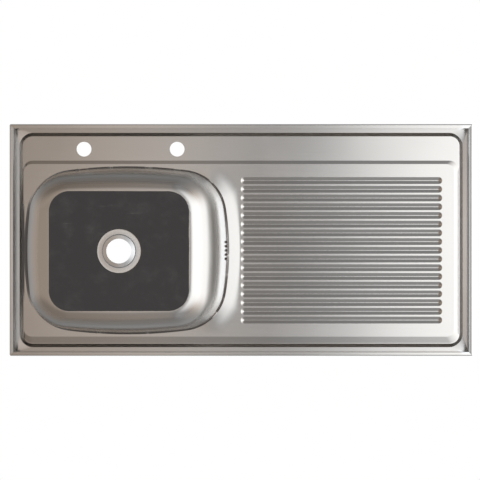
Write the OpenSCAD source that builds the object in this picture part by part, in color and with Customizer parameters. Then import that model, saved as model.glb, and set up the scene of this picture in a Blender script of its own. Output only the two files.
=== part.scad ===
// Sit-on kitchen sink in pressed stainless steel: one bowl, one ribbed drainer,
// two tap holes. It is seen here as it is used: the rim up, the bowl hanging down,
// the tap ledge at the back and the bowl at the right of the drainer.
// The plane z = 0 is the one the folded rim rests on, at the middle of the sink.

/* [Rim] */
// Overall width of the sink
sink_w = 1000; // [900:10:1200]
// Overall depth, front to back
sink_d = 500; // [480:5:600]
// Height of the rim above the cabinet it rests on
rim_h = 30; // [24:1:45]
// Flat width of the rim, from the outer edge to the step
rim_w = 15.5; // [12:0.5:20]
// Outer radius of the folds along the rim
fold_r = 2.5; // [1.5:0.25:4]
// Radius of the four upright corners
corner_r = 3; // [1.5:0.5:6]
// Width of the lip that is folded in under the rim
lip_w = 10.5; // [6:0.5:14]
// Width of the open mitre at each corner of the lip
mitre_gap = 0.6; // [0.3:0.1:1.5]
// Thickness of the deck sheet
sheet_t = 0.8; // [0.6:0.1:1.2]

/* [Recessed panel] */
// Drop of the steep step inside the rim
step_drop = 6; // [4:0.5:10]
// Width of the steep step, seen from above
step_run = 9; // [7:0.5:12]
// Corner radius of the steep step, at its top
step_corner_r = 30; // [22:1:40]
// Radius of the two bends of the steep step
step_bend_r = 2.5; // [1:0.25:3]
// Further drop from the tap ledge to the panel
panel_drop = 2.5; // [1.5:0.25:4]
// Corner radius of the panel
panel_corner_r = 18; // [10:1:20]
// Radius of the two bends between the ledge and the panel
panel_bend_r = 3; // [1:0.25:4]
// Width of the sloping border along the front
front_border = 16; // [8:0.5:16]
// Width of the sloping border beside the drainer
drainer_border = 12; // [6:0.5:20]
// Width of the sloping border beside the bowl
bowl_border = 1.5; // [0.5:0.1:1.5]
// Width of the slope at the front of the tap ledge
ledge_slope = 8.6; // [5:0.2:8.6]
// Depth of the flat tap ledge, front to back
ledge_d = 52; // [45:0.5:52]

/* [Tap holes] */
// Diameter of each tap hole
tap_hole_d = 32; // [28:0.5:36]
// Distance between the two tap holes
tap_spacing = 203; // [150:1:240]
// Middle of the pair of tap holes, right of the middle of the sink
tap_x = 241; // [120:1:260]
// Middle of the tap holes, behind the middle of the sink
tap_y = 198; // [195:0.5:204]

/* [Drainer ribs] */
// Number of ribs
rib_count = 17; // [9:1:17]
// Distance from one rib to the next
rib_pitch = 19; // [17:0.25:20]
// Width of each rib at its foot
rib_w = 15.2; // [10:0.2:16]
// Height of each rib above the panel
rib_h = 3; // [2:0.1:4]
// Length of each rib, over its round ends
rib_l = 439; // [200:1:445]
// Distance from the ribs to the steep step at the drainer's outer end
rib_margin = 37.5; // [30:0.5:80]

/* [Bowl] */
// Width of the bowl's mouth, left to right
mouth_w = 444; // [380:1:444]
// Depth of the bowl's mouth, front to back
mouth_d = 366; // [300:1:366]
// Corner radius of the mouth
mouth_corner_r = 98.5; // [80:0.5:110]
// Radius of the slightly bowed left and right sides of the mouth
mouth_end_r = 588; // [500:1:2000]
// Radius of the slightly bowed front and back sides of the mouth
mouth_side_r = 1003; // [800:1:3000]
// Radius of the roll from the deck into the bowl
mouth_roll_r = 5; // [3:0.25:6]
// Flat margin of the bowl sheet, outside the roll
weld_lip = 3; // [2:0.1:3]
// Gap that the butt weld closes between bowl and deck
weld_gap = 0.1; // [0.05:0.05:0.2]
// Middle of the bowl, right of the middle of the sink
bowl_x = 248; // [247:0.5:248]
// Middle of the bowl, behind the middle of the sink
bowl_y = -22.5; // [-22.5:0.25:-22]
// Depth of the bowl below the panel
bowl_depth = 150; // [110:1:200]
// Width of the bowl's flat floor
floor_w = 286; // [260:1:300]
// Depth of the bowl's flat floor, front to back
floor_d = 244.4; // [230:0.4:260]
// Corner radius of the flat floor
floor_corner_r = 42; // [30:1:60]
// Radius of the sides of the flat floor
floor_side_r = 4000; // [2000:100:8000]
// Radius between the wall and the floor, in the long section
floor_roll_r = 52; // [35:1:60]
// Thickness of the bowl sheet
bowl_t = 0.8; // [0.6:0.1:1.2]

/* [Waste seat] */
// Diameter of the waste hole
waste_d = 50; // [45:0.5:52]
// Diameter of the pressed seat, under the floor
seat_d = 69; // [66:0.5:75]
// Diameter of the flat end of the seat
seat_flat_d = 57; // [55:0.5:60]
// Depth of the pressed seat
seat_drop = 3.5; // [2:0.25:5]

/* [Overflow holes] */
// Number of holes in the row
overflow_count = 5; // [3:2:7]
// Diameter of each hole
overflow_d = 5; // [3.5:0.25:6]
// Distance from one hole to the next
overflow_pitch = 9; // [8:0.25:12]
// Middle of the holes, below the panel
overflow_drop = 18; // [16:0.5:40]

/* [Anti-drumming pad] */
// Width of the pad
pad_w = 285; // [200:1:285]
// Depth of the pad, front to back
pad_d = 244; // [180:1:244]
// Corner radius of the pad
pad_corner_r = 42; // [42:1:80]
// Thickness of the pad
pad_t = 2.5; // [1.5:0.25:3]
// Diameter of the cut-out round the waste seat
pad_hole_d = 89; // [80:0.5:110]

/* [Hidden] */

$fn = 128;
arc_steps = 10;          // chords in each corner arc of the bowl
side_steps = 4;          // chords in each half side of the bowl
roll_steps = 5;          // chords across the roll at the mouth
floor_steps = 9;         // chords across the roll at the floor
recess_steps = 12;       // chords in each corner of the recess
bend_steps = 4;          // chords across each bend of a step
past = 5;                // how far a cutter runs past what it cuts

// Levels, all of them the upper face of the sheet
ledge_z = rim_h - step_drop;
panel_z = ledge_z - panel_drop;
floor_z = panel_z - bowl_depth;
seat_z = floor_z - seat_drop;

// Plan of the steep step, at its top and at its foot
step_w = sink_w - 2 * rim_w;
step_d = sink_d - 2 * rim_w;
foot_x = step_w / 2 - step_run;
foot_y = step_d / 2 - step_run;
foot_r = step_corner_r - step_run;
ledge_front_y = foot_y - ledge_d;

// Ribs: arcs of one circle, with round ends
rib_r = (pow(rib_w / 2, 2) + pow(rib_h, 2)) / (2 * rib_h);
rib_x = -foot_x + rib_margin + rib_l / 2;
rib_straight = rib_l - rib_w;

// Run of the bowl's wall along the sink, and how far it leans out from upright
wall_run = (mouth_w - floor_w) / 2;
wall_draft = 90 - section_tilt(wall_run, bowl_depth, mouth_roll_r, floor_roll_r);

// Place of the overflow holes on the wall
overflow_in = mouth_roll_r * cos(wall_draft)
    + (overflow_drop - mouth_roll_r * (1 - sin(wall_draft))) * tan(wall_draft);
overflow_x = bowl_x - mouth_w / 2 + overflow_in;

// One closed solid through a list of rings, from the ring round the face that
// looks up to the ring round the face that looks down
module loft(rings) {
    count = len(rings[0]);
    last = len(rings) - 1;
    sides = [
        for (k = [0 : last - 1], i = [0 : count - 1])
            let (j = (i + 1) % count, a = k * count, b = a + count)
                each [[a + i, a + j, b + j], [a + i, b + j, b + i]]
    ];
    top = [for (i = [count - 1 : -1 : 0]) i];
    bottom = [for (i = [0 : count - 1]) last * count + i];
    polyhedron(points = [for (ring = rings) each ring], faces = concat(sides, [top, bottom]));
}

// Points on an arc, from one angle to the other
function arc(centre, r, from, to, steps) =
    [for (i = [0 : steps]) centre + r * [cos(from + (to - from) * i / steps),
                                         sin(from + (to - from) * i / steps)]];

// Centre of the corner arc that touches a side arc and an end arc
function corner_centre(a, b, r, end_r, side_r) =
    let (from = [0, b - side_r], to = [a - end_r, 0], gap = norm(to - from),
         u = (to - from) / gap,
         along = (pow(side_r - r, 2) - pow(end_r - r, 2) + pow(gap, 2)) / (2 * gap),
         across = sqrt(pow(side_r - r, 2) - pow(along, 2)))
    from + along * u + across * [u.y, -u.x];

// Quarter of a bowed rectangle with half sizes a and b: half an end, a corner, half a side
function bowed_quarter(a, b, r, end_r, side_r) =
    let (c = corner_centre(a, b, r, end_r, side_r),
         end_a = atan2(c.y, c.x - a + end_r),
         side_a = atan2(c.y - b + side_r, c.x),
         end = arc([a - end_r, 0], end_r, 0, end_a, side_steps),
         corner = arc(c, r, end_a, side_a, arc_steps),
         side = arc([0, b - side_r], side_r, side_a, 90, side_steps))
    concat(end, [for (i = [1 : arc_steps]) corner[i]], [for (i = [1 : side_steps]) side[i]]);

// Whole bowed rectangle, counter-clockwise
function bowed_outline(a, b, r, end_r, side_r) =
    let (q = bowed_quarter(a, b, r, end_r, side_r), n = len(q) - 1)
    concat([for (i = [0 : n - 1]) q[i]],
           [for (i = [n : -1 : 1]) [-q[i].x, q[i].y]],
           [for (i = [0 : n - 1]) -q[i]],
           [for (i = [n : -1 : 1]) [q[i].x, -q[i].y]]);

function blend(from, to, f) = from + (to - from) * f;

// Steepest angle of a sheet that rolls down off one face with radius r1 and out
// onto a lower one with radius r2
function section_tilt(run, drop, r1, r2) =
    let (rise = drop - r1 - r2)
    atan2(rise, run) + asin((r1 + r2) / norm([run, rise]));

// Section of such a sheet, on its upper face: how far in, how far up, and the angle
// of the face, which is 90 where the sheet is level
function pressed_section(run, drop, r1, r2, steps1, steps2) =
    let (tilt = section_tilt(run, drop, r1, r2))
    concat([for (i = [0 : steps1])
                let (a = 90 + tilt * i / steps1)
                    [-r1 * cos(a), -r1 * (1 - sin(a)), a]],
           [for (i = [0 : steps2])
                let (a = 90 + tilt * (1 - i / steps2))
                    [run + r2 * cos(a), r2 * (1 - sin(a)) - drop, a]]);

// Outline of the bowl at a share f of the way from the mouth to the floor, grown by g
function bowl_outline(f, g) =
    bowed_outline(blend(mouth_w, floor_w, f) / 2 + g,
                  blend(mouth_d, floor_d, f) / 2 + g,
                  blend(mouth_corner_r, floor_corner_r, f) + g,
                  1 / blend(1 / mouth_end_r, 1 / floor_side_r, f) + g,
                  1 / blend(1 / mouth_side_r, 1 / floor_side_r, f) + g);

bowl_section = pressed_section(wall_run, bowl_depth, mouth_roll_r, floor_roll_r, roll_steps, floor_steps);

// Ring of the bowl at one point of the section, on the upper or the lower face
function bowl_ring(p, t) =
    [for (q = bowl_outline(p[0] / wall_run, -t * cos(p[2]))) [q.x, q.y, panel_z + p[1] - t * sin(p[2])]];
function lip_ring(t) =
    [for (q = bowl_outline(0, weld_lip)) [q.x, q.y, panel_z - t]];

// Rounded rectangle at height z
function round_corners(x0, x1, y0, y1, r, z) =
    [for (c = [[x1 - r, y1 - r, 0], [x0 + r, y1 - r, 90], [x0 + r, y0 + r, 180], [x1 - r, y0 + r, 270]])
        for (p = arc([c.x, c.y], r, c.z, c.z + 90, recess_steps)) [p.x, p.y, z]];

// Rings of the steep step and of the slope from the ledge to the panel, on the
// upper face of the sheet or t below it
step_section = pressed_section(step_run, step_drop, step_bend_r, step_bend_r, bend_steps, bend_steps);
slope_section = pressed_section(ledge_slope, panel_drop, panel_bend_r, panel_bend_r, bend_steps, bend_steps);

function step_ring(p, t) =
    let (in = p[0] + t * cos(p[2]), x = step_w / 2 - in, y = step_d / 2 - in)
    round_corners(-x, x, -y, y, step_corner_r - in, rim_h + p[1] - t * sin(p[2]));

function slope_ring(p, t) =
    let (f = p[0] / ledge_slope, g = -t * cos(p[2]))
    round_corners(-foot_x + drainer_border * f - g, foot_x - bowl_border * f + g,
                  -foot_y + front_border * f - g, ledge_front_y - ledge_slope * f + g,
                  blend(foot_r, panel_corner_r, f) + g, ledge_z + p[1] - t * sin(p[2]));

function raised(ring, rise) = [for (p = ring) [p.x, p.y, p.z + rise]];

// Slab with rounded long edges, as wide as w along the first axis
module edge_slab(w, h, r, run) {
    linear_extrude(run, center = true) {
        translate([-w / 2, r]) square([w, h - 2 * r]);
        translate([r - w / 2, 0]) square([w - 2 * r, h]);
        for (x = [r - w / 2, w / 2 - r], y = [r, h - r])
            translate([x, y]) circle(r);
    }
}

module round_plate(w, d, r, h) {
    linear_extrude(h) {
        square([w, d - 2 * r], center = true);
        square([w - 2 * r, d], center = true);
        for (x = [r - w / 2, w / 2 - r], y = [r - d / 2, d / 2 - r])
            translate([x, y]) circle(r);
    }
}

// Outer form of the folded rim, set in by t on every side
module rim_form(t) {
    w = sink_w - 2 * t;
    d = sink_d - 2 * t;
    h = rim_h - 2 * t;
    translate([0, 0, t]) intersection() {
        rotate([90, 0, 0]) edge_slab(w, h, fold_r - t, sink_d);
        rotate([90, 0, 90]) edge_slab(d, h, fold_r - t, sink_w);
        round_plate(w, d, corner_r - t, h);
    }
}

// All that lies above the upper face of the recess, or above a face t below it,
// with its sides carried on upwards by rise
module step_tub(t, rise) {
    rings = [for (p = step_section) step_ring(p, t)];
    loft(concat([raised(rings[0], rise)], rings));
}

module panel_dish(t, rise) {
    rings = [for (p = slope_section) slope_ring(p, t)];
    loft(concat([raised(rings[0], rise)], rings));
}

// One rib as a long round bar with ball ends, lying below the drainer
module rib_bar(r) {
    rotate([0, 90, 0]) rotate_extrude() {
        translate([0, -rib_straight / 2]) square([r, rib_straight]);
        for (m = [0, 1]) mirror([0, m]) translate([0, rib_straight / 2])
            intersection() {
                circle(r);
                square(r);
            }
    }
}

module each_rib() {
    for (i = [0 : rib_count - 1])
        translate([rib_x, bowl_y + rib_pitch * (i - (rib_count - 1) / 2), panel_z + rib_h - rib_r])
            children();
}

module deck_blank() {
    difference() {
        rim_form(0);
        rim_form(sheet_t);
        translate([0, 0, -past])
            linear_extrude(rim_h / 2) square([sink_w - 2 * lip_w, sink_d - 2 * lip_w], center = true);
    }
    step_tub(sheet_t, sheet_t / 2);
    panel_dish(sheet_t, sheet_t / 2);
}

module lip_mitres() {
    for (a = [0, 180], m = [0, 1])
        rotate(a) mirror([0, m, 0]) translate([sink_w / 2, sink_d / 2, 0])
            rotate(45) cube([4 * lip_w, mitre_gap, 4 * sheet_t], center = true);
}

module rib_blanks() {
    intersection() {
        each_rib() rib_bar(rib_r);
        translate([rib_x - rib_l, bowl_y - rib_count * rib_pitch, panel_z - sheet_t])
            cube([2 * rib_l, 2 * rib_count * rib_pitch, rib_h + 2 * sheet_t]);
    }
}

module deck() color("Silver") {
    difference() {
        union() {
            difference() {
                deck_blank();
                step_tub(0, past);
                panel_dish(0, past);
            }
            rib_blanks();
        }
        each_rib() rib_bar(rib_r - sheet_t);
        translate([bowl_x, bowl_y, panel_z - past]) linear_extrude(2 * past)
            polygon(bowl_outline(0, weld_lip + weld_gap));
        for (side = [-1, 1])
            translate([tap_x + side * tap_spacing / 2, tap_y, ledge_z - past])
                cylinder(h = 2 * past, d = tap_hole_d);
        lip_mitres();
    }
}

module bowl_shell() {
    n = len(bowl_section) - 1;
    upper = [for (i = [n : -1 : 0]) bowl_ring(bowl_section[i], 0)];
    lower = [for (i = [0 : n]) bowl_ring(bowl_section[i], bowl_t)];
    loft(concat(upper, [lip_ring(0), lip_ring(bowl_t)], lower));
}

module bowl() color("LightGray") {
    difference() {
        translate([bowl_x, bowl_y, 0]) union() {
            bowl_shell();
            translate([0, 0, seat_z - bowl_t])
                cylinder(h = seat_drop + bowl_t / 2, d1 = seat_flat_d, d2 = seat_d);
        }
        translate([bowl_x, bowl_y, seat_z])
            cylinder(h = seat_drop + bowl_t / 2, d1 = seat_flat_d - 2 * bowl_t, d2 = seat_d - bowl_t);
        translate([bowl_x, bowl_y, seat_z - past]) cylinder(h = 2 * past, d = waste_d);
        for (i = [0 : overflow_count - 1])
            translate([overflow_x, bowl_y + overflow_pitch * (i - (overflow_count - 1) / 2),
                       panel_z - overflow_drop])
                rotate([0, 90 - wall_draft, 0]) cylinder(h = 2 * past, d = overflow_d, center = true);
    }
}

module anti_drumming_pad() color("DimGray") {
    translate([bowl_x, bowl_y, floor_z - bowl_t - pad_t]) difference() {
        round_plate(pad_w, pad_d, pad_corner_r, pad_t);
        translate([0, 0, -past]) cylinder(h = pad_t + 2 * past, d = pad_hole_d);
    }
}

deck();
bowl();
anti_drumming_pad();
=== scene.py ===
import math
from collections import namedtuple

import bmesh
import bpy
from bpy.props import FloatProperty, FloatVectorProperty, IntProperty, PointerProperty
from mathutils import Matrix, Vector, noise


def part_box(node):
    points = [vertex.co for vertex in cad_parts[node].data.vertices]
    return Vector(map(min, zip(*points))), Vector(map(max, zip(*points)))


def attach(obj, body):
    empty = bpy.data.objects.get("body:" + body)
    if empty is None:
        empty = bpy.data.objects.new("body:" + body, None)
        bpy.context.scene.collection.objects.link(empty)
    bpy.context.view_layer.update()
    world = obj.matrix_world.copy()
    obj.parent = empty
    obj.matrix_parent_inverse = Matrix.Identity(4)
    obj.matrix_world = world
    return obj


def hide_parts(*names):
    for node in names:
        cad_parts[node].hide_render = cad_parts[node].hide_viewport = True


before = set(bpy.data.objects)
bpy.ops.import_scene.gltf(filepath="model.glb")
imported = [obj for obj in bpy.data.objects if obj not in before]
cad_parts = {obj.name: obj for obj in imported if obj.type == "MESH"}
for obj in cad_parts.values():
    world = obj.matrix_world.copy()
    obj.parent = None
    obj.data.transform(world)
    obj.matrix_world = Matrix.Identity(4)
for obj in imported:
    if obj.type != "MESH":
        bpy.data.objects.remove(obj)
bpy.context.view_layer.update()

bl_info = {
    "name": "Kitchen sink",
    "version": (1, 0, 0),
    "blender": (4, 5, 0),
    "location": "View3D > Sidebar > Kitchen Sink",
    "description": "Makes a pressed steel sink with a drainer, one bowl and the pad under it",
    "category": "Object",
}

DECK_LOW, DECK_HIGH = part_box("deck")
BOWL_LOW, BOWL_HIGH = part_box("bowl")
PAD_LOW, PAD_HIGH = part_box("anti_drumming_pad")

# How many straight pieces a curve has
CORNER_STEPS = 16      # corner of a pressed outline
SIDE_STEPS = 8         # half of a bowed side of the mouth
BEND_STEPS = 8         # bend of the deck's sheet
WALL_STEPS = 14        # each of the two bends of the bowl's wall
SEAT_STEPS = 5         # each bend of the step round the waste hole
RIB_STEPS = 4          # each bend across a rib
RIB_END_STEPS = 12     # round end of a rib
PAD_STEPS = 24         # corner of the pad
PAD_CUTS = 60          # cuts along a straight side of the pad
ROUND_STEPS = 96       # circle of the waste seat, and of the pad's cut-out
TAP_STEPS = 64         # circle of a tap hole
HOLE_STEPS = 24        # circle of an overflow hole
DIP_RINGS = 12         # turns of faces across the dip beside the mouth
DIP_FADE = 0.05        # depth down the bowl's wall where the dip has died out

SHARP_ANGLE = 32       # degrees, past which an edge is a cut edge and not a bend
PAD_RIM_ANGLE = 1.2    # radians, past which an edge of the pad is one of its rims
SAME_PLACE = 2e-6      # vertices nearer than this are one
CLEAR = 0.0004         # what the dip keeps clear of the ribs and the slopes
LIP_LINE = 0.002       # width of the lip's strip that fades from its dark free edge
NEAR = 0.001           # a vertex this near to a line of the deck counts as on it
LIP_FACES = 0.0012     # a face whose middle is lower than this lies in the lip
LIP_VERTS = 0.0015     # a vertex no higher than this over the lip's free edge is in the lip
GRAIN_HEIGHT = 4.8e-6  # of the rolled grain
TURNED_HEIGHT = 9.6e-6  # of the turned grain round the waste seat

SENSOR = 36            # mm, width of the camera's sensor
VIEW_SHIFT = -0.0024   # to the side, as a share of the view's width
FLOOR_SIZE = 30        # half the width of the floor
FLOOR_GAP = 0.0005     # from the waste seat down to it
LAMP_SIZE = 2.4
LAMP_PLACE = (-0.5, -0.3, 2.2)
LAMP_TILT = -12        # degrees, towards the bowl


def length(default, name, description, low=0.0, high=2.0):
    return FloatProperty(name=name, description=description, default=default, min=low, max=high,
                         subtype="DISTANCE", unit="LENGTH", precision=4)


def colour(default, name, description):
    return FloatVectorProperty(name=name, description=description, default=default, size=3,
                               min=0.0, max=1.0, subtype="COLOR")


def share(default, name, description, high=1.0):
    return FloatProperty(name=name, description=description, default=default, min=0.0, max=high,
                         subtype="FACTOR")


# -------- what a user can change


class SinkDeckSizes(bpy.types.PropertyGroup):
    """Sizes of the deck: rim, lip, step, tap ledge, panel and ribs."""

    rim_flat: length(0.0155, "Rim flat", "From the outer edge to the top of the steep step")
    fold_radius: length(0.0025, "Fold radius", "Outer radius of the folds along the rim")
    corner_radius: length(0.003, "Corner radius", "Radius of the four upright corners")
    lip: length(0.0088, "Lip", "Width of the lip folded in under the rim")
    mitre_gap: length(0.0006, "Mitre gap", "Open slit at each corner of the lip")
    sheet: length(0.0008, "Sheet", "Thickness of the deck sheet")
    step_drop: length(0.006, "Step drop", "Height of the steep step inside the rim")
    step_run: length(0.009, "Step run", "Width of the steep step, seen from above")
    step_corner: length(0.030, "Step corner", "Corner radius at the top of the steep step")
    step_bend: length(0.0025, "Step bend", "Radius of the two bends of the steep step")
    panel_drop: length(0.0025, "Panel drop", "From the tap ledge down to the panel")
    panel_bend: length(0.003, "Panel bend", "Radius of the bends beside the panel")
    panel_corner: length(0.018, "Panel corner", "Corner radius of the panel")
    front_border: length(0.016, "Front border", "Width of the slope along the front")
    drainer_border: length(0.012, "Drainer border", "Width of the slope beside the ribs")
    bowl_border: length(0.0015, "Bowl border", "Width of the slope beside the bowl")
    ledge_slope: length(0.0086, "Ledge slope", "Width of the slope in front of the ledge")
    ledge: length(0.052, "Ledge", "Depth of the tap ledge, front to back")
    tap_hole: length(0.032, "Tap hole", "Diameter of each tap hole")
    tap_spacing: length(0.203, "Tap spacing", "From one tap hole to the other")
    tap_x: length(0.241, "Tap holes across", "Middle of the pair of tap holes", -1.0)
    tap_y: length(0.198, "Tap holes back", "Middle of the tap holes", -1.0)
    ribs: IntProperty(name="Ribs", description="Number of ribs on the drainer", default=17,
                      min=1, max=40)
    rib_pitch: length(0.019, "Rib pitch", "From one rib to the next")
    rib_width: length(0.0158, "Rib width", "Width of a rib at its foot")
    rib_height: length(0.003, "Rib height", "Height of a rib above the panel")
    rib_length: length(0.439, "Rib length", "Length of a rib, over its round ends")
    rib_margin: length(0.0375, "Rib margin", "From the ribs to the steep step beside them")
    rib_crown: length(0.004, "Rib crown", "Radius along the ridge of a rib")
    rib_foot: length(0.0012, "Rib foot", "Radius of the fillet at the foot of a rib")
    rim_fall: length(0.0016, "Rim fall", "How far the rim's outer edge falls at the bowl's end")
    rim_fall_end: length(0.0021, "End fall", "How far the rim's outer edge falls at the other end")
    lip_rise: length(0.0006, "Lip rise", "How far the lip's free edge stands off the cabinet")
    dip_width: length(0.042, "Dip width", "Greatest width of the dip round the bowl's drainer side")
    dip_bend: length(0.0015, "Dip bend", "Least width over which the dip reaches its full slope")
    dip_slope: FloatProperty(name="Dip slope", description="Slope of the dip, as rise over run",
                             default=0.1, min=0.0, max=0.3)


class SinkBowlSizes(bpy.types.PropertyGroup):
    """Sizes of the drawn bowl, its waste seat and its overflow holes."""

    x: length(0.248, "Across", "Middle of the bowl", -1.0)
    y: length(-0.0225, "Back", "Middle of the bowl", -1.0)
    depth: length(0.150, "Depth", "From the panel down to the floor")
    mouth_width: length(0.444, "Mouth width", "Width of the mouth, left to right")
    mouth_depth: length(0.366, "Mouth depth", "Depth of the mouth, front to back")
    mouth_corner: length(0.0985, "Mouth corner", "Corner radius of the mouth")
    mouth_end: length(0.588, "Mouth ends", "Radius of the bowed left and right sides")
    mouth_side: length(1.003, "Mouth sides", "Radius of the bowed front and back sides")
    mouth_roll: length(0.005, "Mouth roll", "Radius of the roll from the deck into the bowl")
    margin: length(0.003, "Margin", "Flat margin outside the roll, up to the weld")
    floor_width: length(0.286, "Floor width", "Width of the flat floor")
    floor_depth: length(0.2444, "Floor depth", "Depth of the flat floor")
    floor_corner: length(0.042, "Floor corner", "Corner radius of the flat floor")
    floor_side: length(4.0, "Floor sides", "Radius of the sides of the floor", 0.0, 10.0)
    floor_roll: length(0.052, "Floor roll", "Radius between the wall and the floor")
    sheet: length(0.0008, "Sheet", "Thickness of the bowl sheet")
    seat: length(0.069, "Seat", "Diameter of the pressed waste seat")
    apron: length(0.087, "Seat apron", "Diameter of the shallow slope round the seat")
    apron_drop: length(0.0004, "Apron drop", "How far the apron slopes down to the seat")
    seat_flat: length(0.064, "Seat end", "Diameter of the end of the seat, inside its step")
    seat_cone: length(0.0009, "Seat cone", "How far the seat's end rises towards the waste hole")
    seat_bend: length(0.0008, "Seat bend", "Radius of the two bends of the seat's step")
    seat_drop: length(0.0035, "Seat drop", "Depth of the waste seat")
    waste_hole: length(0.050, "Waste hole", "Diameter of the waste hole")
    holes: IntProperty(name="Holes", description="Number of overflow holes", default=5,
                       min=1, max=9)
    hole: length(0.005, "Overflow hole", "Diameter of each overflow hole")
    hole_pitch: length(0.009, "Hole pitch", "From one overflow hole to the next")
    hole_drop: length(0.018, "Hole drop", "Middle of the overflow holes, below the panel")
    # Painted shade: height of the dark patch round each overflow hole
    painted_hole_shade: length(0.022, "Streak", "Height of the dark streak that each hole leaves on the wall")
    burr: length(0.0012, "Burr", "Height of the burr that the punch leaves inside each hole")


class SinkPadSizes(bpy.types.PropertyGroup):
    """Sizes and colour of the pad that is stuck under the bowl."""

    corner: length(0.042, "Corner radius", "Corner radius of the pad")
    hole: length(0.089, "Cut-out", "Diameter of the hole round the waste seat")
    edge: length(0.0005, "Soft edge", "Radius along the cut edges")
    rough_cut: length(0.0009, "Rough cut", "How far the knife strays along the outline")
    rubber: colour((0.043, 0.040, 0.040), "Rubber", "Colour of the heavy sheet")
    dust: colour((0.20, 0.19, 0.18), "Dust", "Colour of the dust and scuffs on it")


class SinkFinish(bpy.types.PropertyGroup):
    """Finish of the pressed steel, and the painted light and painted shade laid on it."""

    steel: colour((0.665, 0.655, 0.64), "Steel", "Colour of the rolled sheet")
    drawn: colour((0.665, 0.655, 0.64), "Drawn steel", "Colour of the drawn bowl")
    roughness: share(0.17, "Roughness", "Mean roughness of the sheet")
    grain: share(0.35, "Grain", "Strength of the rolled grain")
    waviness: length(0.0003, "Waviness", "Height of the soft waves in the sheet")
    # Painted shade: strength of the dark line along the crease at the bowl's mouth
    seam: share(0.9, "Mouth line", "Strength of the dark line along the bowl's mouth")
    # Colour of all the dark painted shade: the mouth line, the step, the far end and round the
    # holes
    painted_shade: colour((0.070, 0.054, 0.044), "Stain", "Colour of the mouth line and round the holes")
    # Painted shade: strength of the tint on the bowl's wall
    wall_shade: share(0.75, "Drawn mark", "Strength of the tint on the drawn wall")
    # Painted shade: strength of the tint inside the rim's fold
    fold_shade: share(0.7, "Fold mark", "Strength of the tint on the inside of the rim's wall")
    # Painted shade: strength of the grey ring on the wall beside the drainer
    ring_shade: share(0.88, "Die mark", "Strength of the grey ring on the wall beside the drainer")
    # Colour of the tints of painted shade on the fold and on the bowl's wall
    shade_tint: colour((0.30, 0.27, 0.24), "Drawn tone", "Colour of the tint on the drawn wall")
    # Colour of the grey ring of painted shade
    ring_tone: colour((0.17, 0.165, 0.155), "Ring tone", "Colour of the grey ring")
    # The turned seat's own paler colour; on the fold and on a band beside the drainer it is painted
    # light
    pale_tone: colour((0.90, 0.94, 0.98), "Pale tone", "Colour of the turned seat and the lit fold")


class SinkStudio(bpy.types.PropertyGroup):
    """Camera, floor and light."""

    camera_distance: length(2.204, "Camera distance", "From the lip plane down to the camera",
                            0.1, 10.0)
    lens: FloatProperty(name="Lens", description="Focal length on a 36 mm sensor", default=76.6,
                        min=10.0, max=300.0, unit="CAMERA")
    floor: colour((0.86, 0.86, 0.86), "Floor", "Colour of the floor the sink stands on")
    room: share(1.0, "Room", "Level of the room that the steel reflects", 4.0)
    window: share(1.62, "Window", "Level of the bright side that the steel reflects", 10.0)
    fill: share(0.75, "Fill", "Level of the soft light on dull surfaces", 4.0)
    warm: colour((1.0, 0.82, 0.68), "Warm side", "Colour of the room beside the bowl")
    power: FloatProperty(name="Lamp power", description="Power of the large lamp above",
                         default=30.0, min=0.0, max=1000.0, unit="POWER")


# -------- outlines


def arc(x, y, radius, start, end, steps):
    """Points on an arc, from one angle to the other, in degrees."""
    angles = [math.radians(start + (end - start) * i / steps) for i in range(steps + 1)]
    return [Vector((x + radius * math.cos(a), y + radius * math.sin(a))) for a in angles]


def rounded(x0, x1, y0, y1, radius, steps=CORNER_STEPS):
    """The four corner arcs of a rounded rectangle, from the back right one, counter-clockwise."""
    radius = max(radius, 1e-6)
    return [arc(x1 - radius, y1 - radius, radius, 0, 90, steps),
            arc(x0 + radius, y1 - radius, radius, 90, 180, steps),
            arc(x0 + radius, y0 + radius, radius, 180, 270, steps),
            arc(x1 - radius, y0 + radius, radius, 270, 360, steps)]


def bowed(a, b, radius, end_radius, side_radius):
    """A rectangle with half sizes a and b, round corners and slightly bowed sides."""
    start, goal = Vector((0, b - side_radius)), Vector((a - end_radius, 0))
    gap = (goal - start).length
    u = (goal - start) / gap
    along = ((side_radius - radius) ** 2 - (end_radius - radius) ** 2 + gap ** 2) / (2 * gap)
    across = math.sqrt((side_radius - radius) ** 2 - along ** 2)
    c = start + along * u + across * Vector((u.y, -u.x))
    end_angle = math.degrees(math.atan2(c.y, c.x - a + end_radius))
    side_angle = math.degrees(math.atan2(c.y - b + side_radius, c.x))
    quarter = (arc(a - end_radius, 0, end_radius, 0, end_angle, SIDE_STEPS)
               + arc(c.x, c.y, radius, end_angle, side_angle, CORNER_STEPS)[1:]
               + arc(0, b - side_radius, side_radius, side_angle, 90, SIDE_STEPS)[1:])
    back = list(reversed(quarter))
    return (quarter[:-1] + [Vector((-p.x, p.y)) for p in back[:-1]]
            + [-p for p in quarter[:-1]] + [Vector((p.x, -p.y)) for p in back[:-1]])


def mix(start, end, part):
    """The value at a part of the way from start to end."""
    return start + (end - start) * part


def pressed_section(run, drop, first, second, steps=BEND_STEPS):
    """A sheet that rolls down off one face with radius first and out onto a lower one with
    radius second: how far in and how far up each point of it lies."""
    rise = drop - first - second
    tilt = math.atan2(rise, run) + math.asin((first + second) / math.hypot(run, rise))
    points = []
    for i in range(steps + 1):
        a = tilt * i / steps
        points.append((first * math.sin(a), -first * (1 - math.cos(a))))
    for i in range(steps + 1):
        a = tilt * (1 - i / steps)
        points.append((run - second * math.sin(a), second * (1 - math.cos(a)) - drop))
    return points


def at_height(points, z):
    return [Vector((p.x, p.y, z)) for p in points]


def smooth(value):
    """Goes from 0 to 1 with the value, and starts and ends level."""
    value = max(0.0, min(1.0, value))
    return value * value * (3 - 2 * value)


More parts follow.
